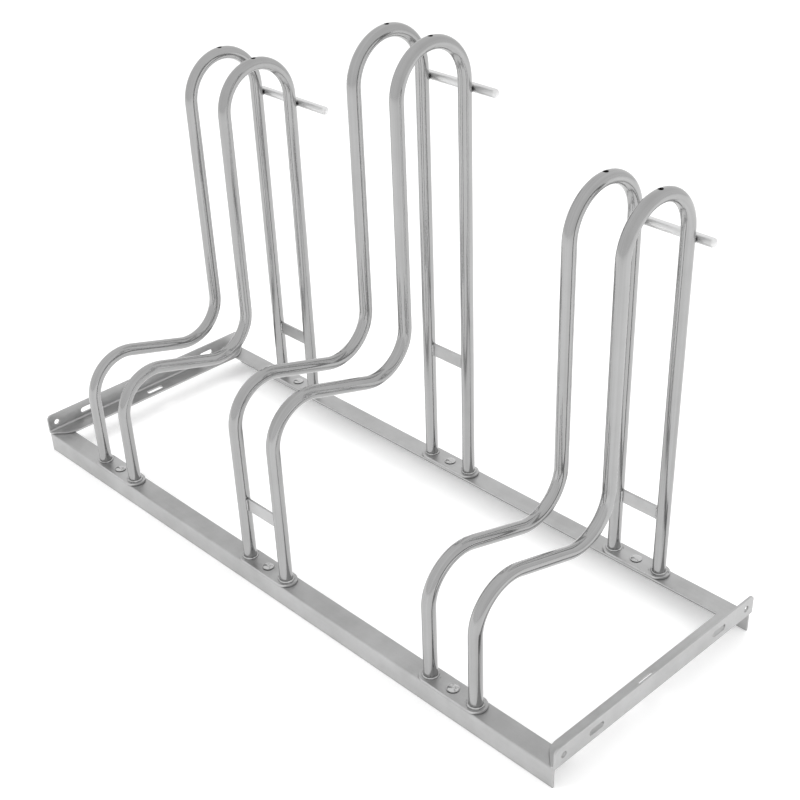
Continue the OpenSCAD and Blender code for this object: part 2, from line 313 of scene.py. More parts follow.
def slot_outline(half_run, radius):
    """Distance from a slot's middle to its outline, by bearing: straight sides, then round ends."""
    def reach(a):
        c, s = np.abs(np.cos(a)), np.abs(np.sin(a))
        side = radius / np.maximum(s, 1e-9)
        end = half_run * c + np.sqrt(np.maximum(radius ** 2 - (half_run * s) ** 2, 0))
        return np.where(side * c <= half_run, side, end)
    return reach


def square_outline(half):
    """Distance from a square's middle to its outline, by bearing."""
    return lambda a: half / np.maximum(np.abs(np.cos(a)), np.abs(np.sin(a)))


def sheet_piece(shell, a, b, outline, holes, place, thickness, grain_seed=0.0):
    """A plate of even thickness on the grid (a, b), with a rounded rim round its outline and holes.

    place(a, b, depth) gives the point at a depth below the outer face. outline gives, for each border vertex
    of the grid, the true edge that it lies INSET inside of. A hole is (i0, i1, j0, j1, centre, outline).
    """
    def put(aa, bb, depth):
        shift = stack(np.full_like(aa, grain_seed), np.zeros_like(aa), np.zeros_like(aa))
        return shell.add(place(aa, bb, depth), stack(bb, depth, aa) + shift)

    def rim(border_a, border_b, edge_a, edge_b, top, under):
        """Rings round an edge, from the outer face over the rounded rim to the inner face."""
        turn = RIM * (1 - math.sqrt(0.5))
        profile = [(RIM, 0.0), (turn, turn), (0.0, RIM), (0.0, thickness - RIM),
                   (turn, thickness - turn), (RIM, thickness)]
        rings = [top]
        for inset, depth in profile:
            k = inset / INSET
            rings.append(put(edge_a + (border_a - edge_a) * k, edge_b + (border_b - edge_b) * k, depth))
        rings.append(under)
        for r0, r1 in zip(rings, rings[1:]):
            shell.bridge(r0, r1, closed=True)

    keep = np.ones((a.shape[0] - 1, a.shape[1] - 1), bool)
    for i0, i1, j0, j1, _, _ in holes:
        keep[i0:i1, j0:j1] = False
    faces = [put(a, b, depth) for depth in (0.0, thickness)]
    for ids in faces:
        shell.sheet(ids, keep)
    loop = border(0, a.shape[0] - 1, 0, a.shape[1] - 1)
    edge = np.array([outline(i, j) for i, j in loop])
    at = (loop[:, 0], loop[:, 1])
    rim(a[at], b[at], edge[:, 0], edge[:, 1], faces[0][at], faces[1][at])
    for i0, i1, j0, j1, (ca, cb), reach in holes:
        loop = border(i0, i1, j0, j1)
        at = (loop[:, 0], loop[:, 1])
        da, db = a[at] - ca, b[at] - cb
        bearing = np.arctan2(db, da)
        true = reach(bearing)
        wide = true + INSET
        ends = []
        for ids, depth in zip(faces, (0.0, thickness)):
            rings = [ids[at]]
            for share in (0.5, 1.0):
                rings.append(put(ca + da + (wide * np.cos(bearing) - da) * share,
                                 cb + db + (wide * np.sin(bearing) - db) * share, depth))
            for r0, r1 in zip(rings, rings[1:]):
                shell.bridge(r0, r1, closed=True)
            ends.append(rings[-1])
        rim(ca + wide * np.cos(bearing), cb + wide * np.sin(bearing),
            ca + true * np.cos(bearing), cb + true * np.sin(bearing), ends[0], ends[1])


def border(i0, i1, j0, j1):
    """Grid places round a rectangle of cells, once around."""
    i, j = np.arange(i0, i1), np.arange(j0, j1)
    return np.concatenate([np.stack([i, np.full_like(i, j0)], 1), np.stack([np.full_like(j, i1), j], 1),
                           np.stack([i[::-1] + 1, np.full_like(i, j1)], 1),
                           np.stack([np.full_like(j, i0), j[::-1] + 1], 1)])


OUTER_R = 2 * MM
ROOT_R = 3 * MM
CORNER = WALL + ROOT_R
DEVELOPED = 2 * LEG


def angle_section(b, depth):
    """Section of the steel angle: inward and downward distances from its outer corner, at place b.

    Up to LEG - CORNER it is the flat leg, then the corner, whose outer face has a small rounding and whose
    inner face is the root fillet, then the upright leg.
    """
    q = np.clip((b - (LEG - CORNER)) / (2 * CORNER), 0, 1)
    straight = CORNER - OUTER_R
    path = q * (2 * straight + OUTER_R * np.pi / 2)
    turn = np.clip((path - straight) / OUTER_R, 0, np.pi / 2)
    past = np.maximum(path - straight - OUTER_R * np.pi / 2, 0)
    before = np.minimum(path, straight)
    out_u = CORNER - before - OUTER_R * np.sin(turn)
    out_w = OUTER_R * (1 - np.cos(turn)) + past
    in_u = CORNER - ROOT_R * np.sin(q * np.pi / 2)
    in_w = CORNER - ROOT_R * np.cos(q * np.pi / 2)
    flat, up = b < LEG - CORNER, b > LEG + CORNER
    out_u = np.where(flat, LEG - b, np.where(up, 0, out_u))
    out_w = np.where(flat, 0, np.where(up, b - LEG, out_w))
    in_u = np.where(flat, LEG - b, np.where(up, WALL, in_u))
    in_w = np.where(flat, WALL, np.where(up, b - LEG, in_w))
    k = depth / WALL
    return out_u + (in_u - out_u) * k, out_w + (in_w - out_w) * k


def angle_rows(hole_flat=None, hole_up=None):
    """Developed places of the grid rows, with even spacing across each band of holes."""
    flat_lo, flat_hi = hole_flat or (9 * MM, 21 * MM)
    up_lo, up_hi = hole_up or (LEG + 9 * MM, LEG + 21 * MM)
    return steps(INSET, 4, flat_lo, 8, flat_hi, 3, LEG - CORNER, 16, LEG + CORNER, 3, up_lo, 8, up_hi, 4,
                 DEVELOPED - INSET)


def long_rail(end, seed):
    """A long rail: steel angle along X with its flat leg on top, drilled for the three bolts."""
    sign = ENDS[end]
    half = RACK_W / 2 - SIDE_OVERHANG
    span = 6 * MM
    rows = angle_rows()
    cols = steps(INSET - half, 22, -PITCH - span, 8, -PITCH + span, 44, -span, 8, span, 44, PITCH - span, 8,
                 PITCH + span, 22, half - INSET)
    a, b = np.meshgrid(cols, rows, indexing="ij")
    first = [int(np.argmin(abs(cols - (k * PITCH - span)))) for k in (-1, 0, 1)]
    j0 = int(np.argmin(abs(rows - 9 * MM)))
    holes = [(i, i + 8, j0, j0 + 8, (k * PITCH, LEG / 2), slot_outline(0, 3.3 * MM))
             for i, k in zip(first, (-1, 0, 1))]

    def outline(i, j):
        return (half if i == len(cols) - 1 else -half if i == 0 else cols[i],
                DEVELOPED if j == len(rows) - 1 else 0 if j == 0 else rows[j])

    def place(aa, bb, depth):
        u, w = angle_section(bb, depth)
        wave = ripple(aa, seed, [(0.61, 0.12 * MM), (0.23, 0.05 * MM)])
        return stack(aa, sign * (RACK_D / 2 - u - 0.15 * MM + wave * 0.6), LEG - w)

    shell = Shell()
    sheet_piece(shell, a, b, outline, holes, place, WALL, seed)
    return shell.build(f"{end}_rail_angle", [f"{end}_rail"], FINISH["angle"], 40)


SHEAR_START = 6.5 * MM
SHEAR_ROUND = 30 * MM
TOP_ROUND = 7 * MM
JOINING_INSET = 15 * MM
SLOT_R = 4.5 * MM
WALL_SLOT_L = 26 * MM
WALL_SLOT_Y = 119 * MM
FLOOR_SLOT_L = 30 * MM
FLOOR_SLOT_IN = 18 * MM


def side_rail_end(row, rows):
    """True edge of the side rail's end for a grid row: sheared on the flat leg, rounded on the upright leg.

    The shear is a 45 degree line from SHEAR_START that runs into the inner edge on an arc of SHEAR_ROUND.
    """
    half = RACK_D / 2
    rise = SHEAR_ROUND * math.tan(math.pi / 8)
    centre = LEG - SHEAR_START + rise
    b = rows[row]
    u = LEG - b
    arc_u = LEG - SHEAR_ROUND * (1 - math.cos(math.pi / 4))
    last = len(rows) - 1
    if b < LEG - arc_u:
        turn = math.pi / 4 * (b - INSET) / (LEG - arc_u - INSET)
        return half - centre + SHEAR_ROUND * math.sin(turn), LEG - SHEAR_ROUND * math.cos(turn)
    if b < LEG - SHEAR_START:
        return half - (u - SHEAR_START), b
    start = DEVELOPED - TOP_ROUND
    if b > start:
        turn = math.pi / 2 * (b - start) / (rows[last] - start)
        return half - TOP_ROUND + TOP_ROUND * math.cos(turn), start + TOP_ROUND * math.sin(turn)
    return half, b


def side_rail(side, seed):
    """A side rail: steel angle along Y, its flat leg on the long rails and its upright leg outside."""
    sign = SIDES[side]
    half = RACK_D / 2
    span, slot_span = 6.5 * MM, 15.5 * MM
    rows = angle_rows((5.5 * MM, 18.5 * MM), (LEG + 8.5 * MM, LEG + 21.5 * MM))
    hole_y = half - JOINING_INSET
    knee_flat = half - 40 * MM
    right = steps(0, 14, FLOOR_SLOT_L / 2 + 3 * MM, 36,
                  WALL_SLOT_Y - slot_span, 16, WALL_SLOT_Y + slot_span, 12,
                  hole_y - span, 8, hole_y + span, 9, half - INSET)
    cols = np.concatenate([-right[:0:-1], right])
    ends = np.array([side_rail_end(j, rows) for j in range(len(rows))])
    tangent = np.gradient(ends, axis=0)
    tangent /= np.linalg.norm(tangent, axis=1)[:, None]
    inside = ends + INSET * np.stack([-tangent[:, 1], tangent[:, 0]], 1)
    inside[0] = ends[0] + (0, INSET)
    inside[-1] = ends[-1] - (0, INSET)
    knee = np.where(rows < LEG, knee_flat, hole_y + span)
    c = np.abs(cols)[:, None]
    t = np.clip((c - knee) / (half - INSET - knee), 0, 1)
    a = np.sign(cols)[:, None] * np.where(c <= knee, c, knee + t * (inside[:, 0] - knee))
    b = rows + t * (inside[:, 1] - rows)
    holes = []
    j_up = int(np.argmin(abs(rows - (LEG + 8.5 * MM))))
    j_flat = int(np.argmin(abs(rows - 5.5 * MM)))
    for s in (-1, 1):
        for middle, reach_a, outline_of in ((s * hole_y, span, slot_outline(0, SLOT_R)),
                                            (s * WALL_SLOT_Y, slot_span,
                                             slot_outline(WALL_SLOT_L / 2 - SLOT_R, SLOT_R))):
            i0 = int(np.argmin(abs(cols - (middle - reach_a))))
            i1 = int(np.argmin(abs(cols - (middle + reach_a))))
            holes.append((i0, i1, j_up, j_up + 8, (middle, LEG + LEG / 2), outline_of))
    i0 = int(np.argmin(abs(cols + FLOOR_SLOT_L / 2 + 3 * MM)))
    holes.append((i0, len(cols) - 1 - i0, j_flat, j_flat + 8, (0, LEG - FLOOR_SLOT_IN),
                  slot_outline(FLOOR_SLOT_L / 2 - SLOT_R, SLOT_R)))

    def outline(i, j):
        if i in (0, len(cols) - 1):
            return math.copysign(ends[j, 0], cols[i]), ends[j, 1]
        return a[i, j], DEVELOPED if j == len(rows) - 1 else 0.0

    def place(aa, bb, depth):
        u, w = angle_section(bb, depth)
        return stack(sign * (RACK_W / 2 - u), aa, LEG + w)

    shell = Shell()
    sheet_piece(shell, a, b, outline, holes, place, WALL, seed)
    return shell.build(f"{side}_side_rail_angle", [f"{side}_side_rail"],
                       FINISH["angle"], 40)


def foot_plate(holder, end, seed):
    """A plate with round ends under a pair of feet: rows at b = R sin t, so that the ends are round."""
    place_x, foot = HOLDERS[holder] * PITCH, ENDS[end] * FOOT_Y
    r = LEG / 2
    half_run = TUBE_PITCH / 2
    neck = 3.35 * MM
    span = 6 * MM
    turn = np.linspace(-np.pi / 2, np.pi / 2, 25)
    rows = (r - INSET) * np.sin(turn)
    cols = steps(-half_run - r + INSET, 12, -half_run, 10, -span, 8,
                 span, 10, half_run, 12, half_run + r - INSET)
    t = np.clip((np.abs(cols)[:, None] - half_run) / (r - INSET), 0, 1)
    straight = np.minimum(np.abs(cols)[:, None], half_run)
    a = np.sign(cols)[:, None] * (straight + t * (r - INSET) * np.cos(turn))
    b = np.broadcast_to(rows, a.shape).copy()
    j0 = int(np.argmin(abs(rows + span)))
    i0 = int(np.argmin(abs(cols + span)))

    def outline(i, j):
        if i in (0, len(cols) - 1):
            return math.copysign(half_run + r * math.cos(turn[j]), cols[i]), r * math.sin(turn[j])
        return a[i, j], math.copysign(r, rows[j])

    def place(aa, bb, depth):
        return stack(place_x + aa, foot + bb, PLATE_TOP - depth)

    shell = Shell()
    holes = [(i0, len(cols) - 1 - i0, j0, len(rows) - 1 - j0, (0, 0), square_outline(neck))]
    sheet_piece(shell, a, b, outline, holes, place, PLATE_T, seed)
    name = f"{holder}_{end}_foot_plate"
    return shell.build(name + "_cut", [name], FINISH["plate"], 40)


def strap(holder, end, seed):
    """A flat strap on edge between two legs."""
    place_x, foot = HOLDERS[holder] * PITCH, ENDS[end] * FOOT_Y
    half = TYRE_GAP / 2 - 0.1 * MM
    middle = strap_height(HOLDERS[holder], ENDS[end])
    cols, rows = steps(INSET - half, 14, half - INSET), steps(INSET - STRAP_H / 2, 8, STRAP_H / 2 - INSET)
    a, b = np.meshgrid(cols, rows, indexing="ij")

    def outline(i, j):
        return (math.copysign(half, cols[i]) if i in (0, len(cols) - 1) else cols[i],
                math.copysign(STRAP_H / 2, rows[j]) if j in (0, len(rows) - 1) else rows[j])

    def put(aa, bb, depth):
        return stack(place_x + aa, foot - STRAP_T / 2 + depth, middle + bb)

    shell = Shell()
    sheet_piece(shell, a, b, outline, [], put, STRAP_T, seed)
    name = f"{holder}_{end}_strap"
    return shell.build(name + "_flat", [name], FINISH["plate"], 40)


# Turned pieces: lock bars, bolts, washers and nuts

def turned(shell, profile, centre, axis="z", around=40, section=None, seed=0.0):
    """A profile of (radius, height) turned about an axis: radius times section(t, height) at bearing t."""
    r, h = np.asarray(profile, float).T
    t = np.arange(around) * 2 * np.pi / around
    rr = r[:, None] * np.ones(around) if section is None else section(t[None, :], r[:, None], h[:, None])
    x, y, z = rr * np.cos(t), rr * np.sin(t), h[:, None] + 0 * t
    points = stack(x, y, z) if axis == "z" else stack(z, x, y)
    ids = shell.add(points + np.asarray(centre), stack(x + seed, y, z))
    shell.wrap(ids)
    return ids


def lock_bar(holder, seed):
    """A round bar across the back of a holder, with rounded ends."""
    place = HOLDERS[holder]
    edge = BAR_R - 1 * MM
    length = BAR_L[holder]
    q = np.linspace(0, np.pi / 2, 11)
    end = [(BAR_R - edge + edge * math.sin(a), edge - edge * math.cos(a)) for a in q]
    body = [(BAR_R, s) for s in steps(2 * edge, 24, length - 2 * edge)]
    profile = [(0, 0)] + end + body + [(r, length - h) for r, h in end[::-1]] + [(0, length)]
    shell = Shell()
    centre = (place * PITCH - BAR_START, BAR_Y, LOW_TOP_Z - BAR_DROP + raised(place))
    turned(shell, profile, centre, "x", 48, seed=seed)
    name = f"{holder}_lock_bar"
    return shell.build(name + "_round", [name], FINISH["bar"])


HEAD_R = 8.25 * MM
HEAD_H = 3.9 * MM
NECK_W = 6.3 * MM
BOLT_R = 3 * MM
WASHER_R = 6.25 * MM
WASHER_T = 1.6 * MM
NUT_W = 10 * MM
NUT_H = 5 * MM
THREAD_PITCH = 1 * MM
WASHER_TOP = LEG - WALL
BOLT_TIP = WASHER_TOP - WASHER_T - NUT_H - 3 * MM


def feet():
    """The middle of each foot plate, on its top."""
    return [(p * PITCH, e * FOOT_Y, PLATE_TOP) for p in HOLDERS.values() for e in ENDS.values()]


def carriage_bolts():
    """Six bolts: a domed head with a thin rim, a square neck and a shank with a screw thread."""
    shell = Shell()
    cap_r = (HEAD_H ** 2 + HEAD_R ** 2) / (2 * HEAD_H)
    rim_h = 1.1 * MM
    spread = math.asin(HEAD_R / cap_r)
    dome = [(cap_r * math.sin(a), HEAD_H - cap_r * (1 - math.cos(a))) for a in np.linspace(0, spread, 16)]
    dome = [(r, max(h, rim_h)) for r, h in dome]
    head = dome + [(HEAD_R, 0.8 * MM), (HEAD_R - 0.8 * MM, 0.45 * MM), (HEAD_R - 1.6 * MM, 0), (4.4 * MM, 0)]
    neck_bottom = -(PLATE_T - 0.4 * MM)
    thread_top = WASHER_TOP - PLATE_TOP - WASHER_T - NUT_H
    tip = BOLT_TIP - PLATE_TOP
    for n, spot in enumerate(feet()):
        skew = 0.35 * n

        def square(t, r, h):
            """A square section with rounded corners, turned by skew."""
            c, s = np.abs(np.cos(t + skew)), np.abs(np.sin(t + skew))
            return np.minimum(NECK_W / 2 / np.maximum(c, s), NECK_W * 0.66) * (r / r)

        def screw(t, r, h):
            """A radius that drops by the thread's depth as the height turns through one pitch."""
            phase = np.mod(h / THREAD_PITCH - t / (2 * np.pi), 1)
            deep = 0.55 * MM * np.abs(2 * phase - 1) * (h < thread_top + 0.4 * MM) * (h > tip + 0.2 * MM)
            return r - deep

        turned(shell, head, spot, around=48, seed=n * 0.05)
        neck = [(1, 0), (1, -1 * MM), (1, neck_bottom)]
        turned(shell, neck, spot, around=48, section=square, seed=n * 0.05)
        shank = [(BOLT_R, h) for h in steps(neck_bottom, 10, thread_top + 1 * MM, 56, tip + 0.5 * MM)]
        end = [(BOLT_R - 0.5 * MM, tip), (0, tip)]
        turned(shell, shank + end, spot, around=32, section=screw, seed=n * 0.05)
    return shell.build("carriage_bolts_domed", ["carriage_bolts"], FINISH["fastener"], 35)


def washers():
    """Six plain washers with rounded edges."""
    shell = Shell()
    bore, e = BOLT_R + 0.2 * MM, 0.25 * MM
    ring = [(bore, -e), (bore + e, 0), (WASHER_R - e, 0), (WASHER_R, -e), (WASHER_R, e - WASHER_T),
            (WASHER_R - e, -WASHER_T), (bore + e, -WASHER_T), (bore, e - WASHER_T), (bore, -e)]
    for n, (x, y, _) in enumerate(feet()):
        turned(shell, ring, (x, y, WASHER_TOP), seed=n * 0.03)
    return shell.build("washers_pressed", ["washers"], FINISH["fastener"], 35)


def nuts():
    """Six hexagonal nuts: radius = hexagon at each bearing, held in by a 30 degree chamfer at both ends."""
    shell = Shell()
    bore = BOLT_R + 0.05 * MM
    start_r = NUT_W / 2 * 0.97
    for n, (x, y, _) in enumerate(feet()):
        def hexagon(t, r, h):
            """The smaller of the hexagon and the chamfer cone; bore rows keep their own radius."""
            flat = NUT_W / 2 / np.cos(np.mod(t + 0.3 * n + np.pi / 6, np.pi / 3) - np.pi / 6)
            cone = start_r + np.minimum(-h, NUT_H + h) * math.tan(math.radians(60))
            return np.where(r > start_r, np.minimum(flat, np.maximum(cone, start_r)), r + 0 * t)
        side = [(1, h) for h in -steps(0, 8, 1 * MM, 4, NUT_H - 1 * MM, 8, NUT_H)]
        ring = [(bore, -0.4 * MM), (bore + 0.4 * MM, 0), (start_r - 0.2 * MM, 0)] + side
        ring += [(start_r - 0.2 * MM, -NUT_H), (bore + 0.4 * MM, -NUT_H)]
        ring += [(bore, 0.4 * MM - NUT_H), (bore, -0.4 * MM)]
        turned(shell, ring, (x, y, WASHER_TOP - WASHER_T), around=96, section=hexagon, seed=n * 0.03)
    return shell.build("nuts_hexagonal", ["nuts"], FINISH["fastener"], 25)


# Weld beads

def bead(shell, path, normal, radius, seed, closed=False, pitch=1.7 * MM, lumps=0.12, ends=0.6):
    """A weld bead carried along a path: radius times a row of overlapping drops, |sin|, and slow lumps.

    normal is the direction across the bead, one for the whole path or one for each point. Open ends close
    on a pole.
    """
    path = np.asarray(path, float)
    tangent = np.roll(path, -1, 0) - np.roll(path, 1, 0) if closed else np.gradient(path, axis=0)
    tangent /= np.linalg.norm(tangent, axis=1)[:, None]
    n1 = np.broadcast_to(np.asarray(normal, float), path.shape)
    n1 = n1 - (n1 * tangent).sum(1)[:, None] * tangent
    n1 = n1 / np.linalg.norm(n1, axis=1)[:, None]
    n2 = np.cross(tangent, n1)
    run = np.concatenate([[0], np.cumsum(np.linalg.norm(np.diff(path, axis=0), axis=1))])
    total = run[-1] + (np.linalg.norm(path[0] - path[-1]) if closed else 0)
    drops = max(3, round(total / pitch))
    t = np.arange(14) * 2 * np.pi / 14
    rng = np.random.default_rng(seed)
    slow = sum(np.sin(2 * np.pi * k * run / total + rng.random() * 6.3) * rng.uniform(0.3, 1)
               for k in (1, 2, 3, 5))
    size = 1 - 0.13 * (1 - np.abs(np.sin(np.pi * drops * run / total + rng.random()))) + lumps * slow / 2
    uneven = 1 + 0.06 * np.sin(3 * t[None, :] + 9 * run[:, None] / total * 6.3)
    r = radius * size[:, None] * uneven
    if not closed:
        x = np.clip(np.minimum(run, total - run) / (ends * radius * 1.6), 0, 1)
        r = r * np.sqrt(np.maximum(1 - (1 - x) ** 2, 0))[:, None]
    outward = np.cos(t)[:, None] * n1[:, None] + np.sin(t)[:, None] * n2[:, None]
    points = path[:, None] + r[..., None] * outward
    ids = shell.add(points, stack(r * np.cos(t), r * np.sin(t), run[:, None] + seed * 0.01))
    shell.wrap(np.concatenate([ids, ids[:1]]) if closed else ids)


def spatter(shell, centre, size, seed):
    """A drop of spatter: a small sphere, point = centre + size (sin u cos v, sin u sin v, cos u)."""
    u = np.linspace(0, np.pi, 7)[:, None]
    v = np.arange(10) * 2 * np.pi / 10
    unit = stack(np.sin(u) * np.cos(v), np.sin(u) * np.sin(v), np.cos(u) + 0 * v)
    shell.wrap(shell.add(np.asarray(centre) + size * unit, size * unit + seed * 0.01))


WELD = 1.6 * MM


def foot_welds():
    """A bead round each tube foot, with a few drops of spatter on the plate."""
    shell = Shell()
    rng = np.random.default_rng(17)
    for n, (x, y, z) in enumerate(feet()):
        for m, side in enumerate(SIDES.values()):
            seed = 40 + 2 * n + m
            a = np.linspace(0, 2 * np.pi, 120, endpoint=False) + rng.random() * 6.3
            spin = stack(np.cos(a), np.sin(a), 0 * a)
            foot = np.array([x + side * TUBE_PITCH / 2, y, z])
            ring = foot + spin * (TUBE_R + 0.35 * WELD) + np.array([0, 0, 0.35 * WELD])
            bead(shell, ring, spin, WELD, seed, closed=True, pitch=3.2 * MM, lumps=0.3)
            for _ in range(5):
                b, far = rng.random() * 6.3, TUBE_R + rng.uniform(3.6, 4.8) * MM
                drop = rng.uniform(0.3, 0.9) * MM
                spatter(shell, foot + (far * math.cos(b), far * math.sin(b), drop * 0.5), drop, seed)
    return shell.build("foot_welds_beads", ["foot_welds"], FINISH["weld"], 60)


def strap_welds():
    """Upright beads in the four corners between each strap and its two legs."""
    shell = Shell()
    straps = [(p, 1) for p in HOLDERS.values()] + [(0, -1)]
    s = np.linspace(-1, 1, 44)
    n = 0
    for place, end in straps:
        middle = strap_height(place, end)
        for sx in (-1, 1):
            for sy in (-1, 1):
                n += 1
                at_x = place * PITCH + sx * (TYRE_GAP / 2 - 0.4 * MM)
                corner = np.array([at_x, end * FOOT_Y + sy * STRAP_T / 2, middle])
                path = corner + stack(0.15 * MM * np.sin(9 * s + n), sy * 0.5 * MM,
                                      s * (STRAP_H / 2 - 0.8 * MM))
                bead(shell, path, (sx, 0, 0), 1.7 * MM, 90 + n)
    return shell.build("strap_welds_beads", ["strap_welds"], FINISH["weld"], 60)


def lock_bar_welds():
    """Two short beads, above and below each lock bar, in the corner it makes with a leg."""
    shell = Shell()
    s = np.linspace(-1, 1, 30)
    n = 0
    for place in HOLDERS.values():
        z = LOW_TOP_Z - BAR_DROP + raised(place)
        for side in SIDES.values():
            x = place * PITCH + side * TUBE_PITCH / 2
            for up in (-1, 1):
                n += 1
                back = FOOT_Y + np.sqrt(TUBE_R ** 2 - (s * 4 * MM) ** 2)
                path = stack(x + s * 4 * MM, back + 1.2 * MM, z + up * (3.4 * MM + 0 * s))
                bead(shell, path, (0, 0, up), 1.6 * MM, 130 + n)
    return shell.build("lock_bar_welds_beads", ["lock_bar_welds"], FINISH["weld"], 60)


def corner_welds():
    """A bead under each side rail, along the inner edge of a long rail."""
    shell = Shell()
    s = np.linspace(-1, 1, 50)
    n = 0
    for sx in (-1, 1):
        for sy in (-1, 1):
            n += 1
            y = sy * (RACK_D / 2 - LEG - 0.6 * MM)
            path = stack(sx * (RACK_W / 2 - LEG / 2 + s * 9.5 * MM), y + 0 * s, LEG - 0.7 * MM + 0 * s)
            bead(shell, path, (0, sy, 0), 1.9 * MM, 160 + n)
    return shell.build("corner_welds_beads", ["corner_welds"], FINISH["weld"], 60)


# Materials

class Nodes:
    """Short calls for building the nodes of a material or of the world."""

    def __init__(self, owner):
        self.owner = owner
        owner.use_nodes = True
        self.tree = owner.node_tree
        self.tree.nodes.clear()

    def add(self, kind, sockets=None, **settings):
        """A node with its settings, and its inputs given as values or as other nodes' outputs."""
        node = self.tree.nodes.new(kind)
        for key, value in settings.items():
            setattr(node, key, value)
        for key, value in (sockets or {}).items():
            if isinstance(value, bpy.types.NodeSocket):
                self.tree.links.new(value, node.inputs[key])
            else:
                node.inputs[key].default_value = value
        return node

    def maths(self, how, a, b=0.0, clamp=False):
        node = self.add("ShaderNodeMath", {0: a, 1: b}, operation=how, use_clamp=clamp)
        return node.outputs[0]

    def noise(self, vector, scale, detail=3.0, rough=0.55):
        inputs = {"Vector": vector, "Scale": scale, "Detail": detail, "Roughness": rough}
        node = self.add("ShaderNodeTexNoise", inputs)
        return node.outputs["Fac"]

    def stretch(self, vector, factors):
        node = self.add("ShaderNodeVectorMath", {0: vector, 1: factors}, operation="MULTIPLY")
        return node.outputs[0]

    def remap(self, value, low, high, to_low, to_high):
        node = self.add("ShaderNodeMapRange", {"Value": value, "From Min": low, "From Max": high,
                                               "To Min": to_low, "To Max": to_high})
        return node.outputs[0]

    def blend(self, share, a, b, how="MIX"):
        node = self.add("ShaderNodeMix", data_type="RGBA", blend_type=how)
        for socket, value in zip((node.inputs[0], node.inputs[6], node.inputs[7]), (share, a, b)):
            if isinstance(value, bpy.types.NodeSocket):
                self.tree.links.new(value, socket)
            else:
                socket.default_value = value
        return node.outputs[2]


def grey(value, warm=0.0):
    """A grey with a slight warm (positive) or cool (negative) cast, as a linear colour."""
    return (value * (1 + warm), value, value * (1 - warm), 1.0)


def steel_finish(name, light, dark, rough, streak, cloud, grit, relief, crevice_shade, hollow=False):
    """Zinc-coated steel: lengthwise drawing streaks, cloudy patina, specks, and a fine relief.

    light and dark are the two greys of the coating, rough the range of its roughness, streak and cloud the
    share of each pattern, grit the share of dark specks, relief the depth of the bump in metres and
    crevice_shade the share of painted shade, near black, laid where ambient occlusion finds corners and
    crevices. A hollow piece has
    painted shade inside: its grain coordinates give the distance from its middle, and where that is somewhat
    less than the tube's outer radius the colour is painted near black.
    """
    n = Nodes(bpy.data.materials.new(name))
    grain = n.add("ShaderNodeAttribute", attribute_name="grain").outputs["Vector"]
    place = n.add("ShaderNodeTexCoord").outputs["Object"]
    lines = n.noise(n.stretch(grain, (700, 700, 5)), 1.0, 3.0, 0.5)
    broad = n.noise(n.stretch(grain, (150, 150, 1.6)), 1.0, 2.0, 0.5)
    patches = n.noise(place, 30.0, 4.0, 0.55)
    wide = n.noise(place, 6.0, 3.0, 0.5)
    specks = n.noise(place, 500.0, 2.0, 0.5)
    fine = n.noise(place, 1500.0, 2.0, 0.6)
    streaks = n.maths("ADD", n.maths("MULTIPLY", lines, 0.35), n.maths("MULTIPLY", broad, 0.65))
    mix = n.maths("ADD", n.maths("MULTIPLY", n.remap(streaks, 0.36, 0.64, 0, 1), streak),
                  n.maths("MULTIPLY", n.remap(patches, 0.35, 0.65, 0, 1), cloud))
    slow = n.maths("MULTIPLY", n.remap(wide, 0.35, 0.65, 0, 1), 1 - streak - cloud)
    mix = n.maths("ADD", mix, slow, clamp=True)
    colour = n.blend(mix, grey(dark, 0.002), grey(light, -0.002))
    spots = n.remap(specks, 0.68, 0.76, 0, grit)
    colour = n.blend(spots, colour, grey(dark * 0.6, 0.01))
    # Painted shade: the colour is darkened towards near black where ambient occlusion finds corners and
    # crevices, such as at the foot rings, plate edges and bolt heads.
    near = n.add("ShaderNodeAmbientOcclusion", {"Distance": 5 * MM}, samples=6).outputs["AO"]
    colour = n.blend(n.remap(near, 0.30, 0.72, crevice_shade, 0.0), colour, grey(0.05, 0.02))
    # Painted shade: the inner wall of a hollow tube, and the drain hole's rim and lip, are painted near
    # black.
    if hollow:
        x, y, _ = n.add("ShaderNodeSeparateXYZ", {0: grain}).outputs
        reach = n.maths("SQRT", n.maths("ADD", n.maths("MULTIPLY", x, x), n.maths("MULTIPLY", y, y)))
        colour = n.blend(n.remap(reach, TUBE_R - 0.9 * MM, TUBE_R - 0.4 * MM, 1, 0), colour, grey(0.03))
    roughness = n.remap(n.maths("ADD", n.maths("MULTIPLY", streaks, 0.6), n.maths("MULTIPLY", patches, 0.4)),
                        0.38, 0.62, rough[0], rough[1])
    height = n.maths("ADD", n.maths("MULTIPLY", streaks, 0.5),
                     n.maths("ADD", n.maths("MULTIPLY", fine, 0.12), n.maths("MULTIPLY", patches, 0.6)))
    bump = n.add("ShaderNodeBump", {"Height": height, "Distance": relief, "Strength": 1.0})
    shader = n.add("ShaderNodeBsdfPrincipled", {"Base Color": colour, "Metallic": 1.0, "Roughness": roughness,
                                                "Normal": bump.outputs[0]})
    out = n.add("ShaderNodeOutputMaterial")
    n.tree.links.new(shader.outputs[0], out.inputs[0])
    return n.owner


FINISH = {
    "tube": steel_finish("galvanised_tube", 0.44, 0.34, (0.11, 0.18), 0.65, 0.2, 0.2, 0.000012, 0.8, True),
    "angle": steel_finish("galvanised_angle", 0.55, 0.41, (0.34, 0.48), 0.25, 0.45, 0.3, 0.00003, 0.5),
    "plate": steel_finish("galvanised_plate", 0.56, 0.41, (0.30, 0.44), 0.2, 0.5, 0.3, 0.00003, 0.7),
    "bar": steel_finish("galvanised_bar", 0.82, 0.70, (0.34, 0.46), 0.4, 0.35, 0.15, 0.00002, 0.4),
    "fastener": steel_finish("zinc_fastener", 0.60, 0.50, (0.14, 0.24), 0.2, 0.3, 0.1, 0.00001, 0.9),
    "weld": steel_finish("weld_metal", 0.60, 0.34, (0.18, 0.36), 0.1, 0.6, 0.6, 0.00008, 0.3),
}

# Pieces

